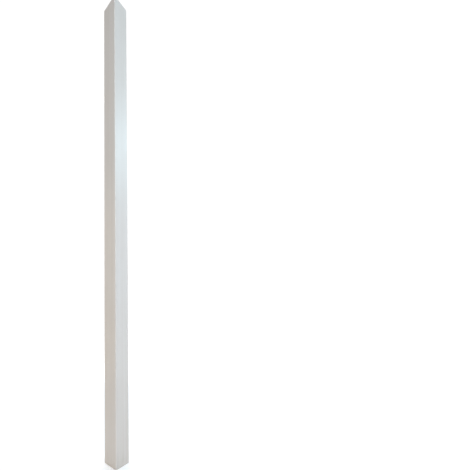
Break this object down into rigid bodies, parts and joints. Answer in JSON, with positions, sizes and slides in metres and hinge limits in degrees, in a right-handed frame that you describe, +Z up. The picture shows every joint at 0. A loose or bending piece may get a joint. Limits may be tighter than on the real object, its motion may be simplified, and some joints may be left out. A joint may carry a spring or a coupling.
{
  "type": "partition corner post",
  "caption": "Tall white plastic corner post for partition walls: a square tube core with panel channels at right angles to each other.",
  "frame": {"origin": "middle of the foot's outline, on the floor", "axes": "+Z up along the post; +X the way one channel opens, +Y the way the other opens; the room wall's outer corner is toward -X and -Y"},
  "size_m": [0.107, 0.107, 3],
  "materials": {
    "white_plastic": "satin off-white rigid plastic, the same colour all through, as extruded"
  },
  "bodies": {
    "root": {"corner_post": "white_plastic"}
  },
  "joints": []
}
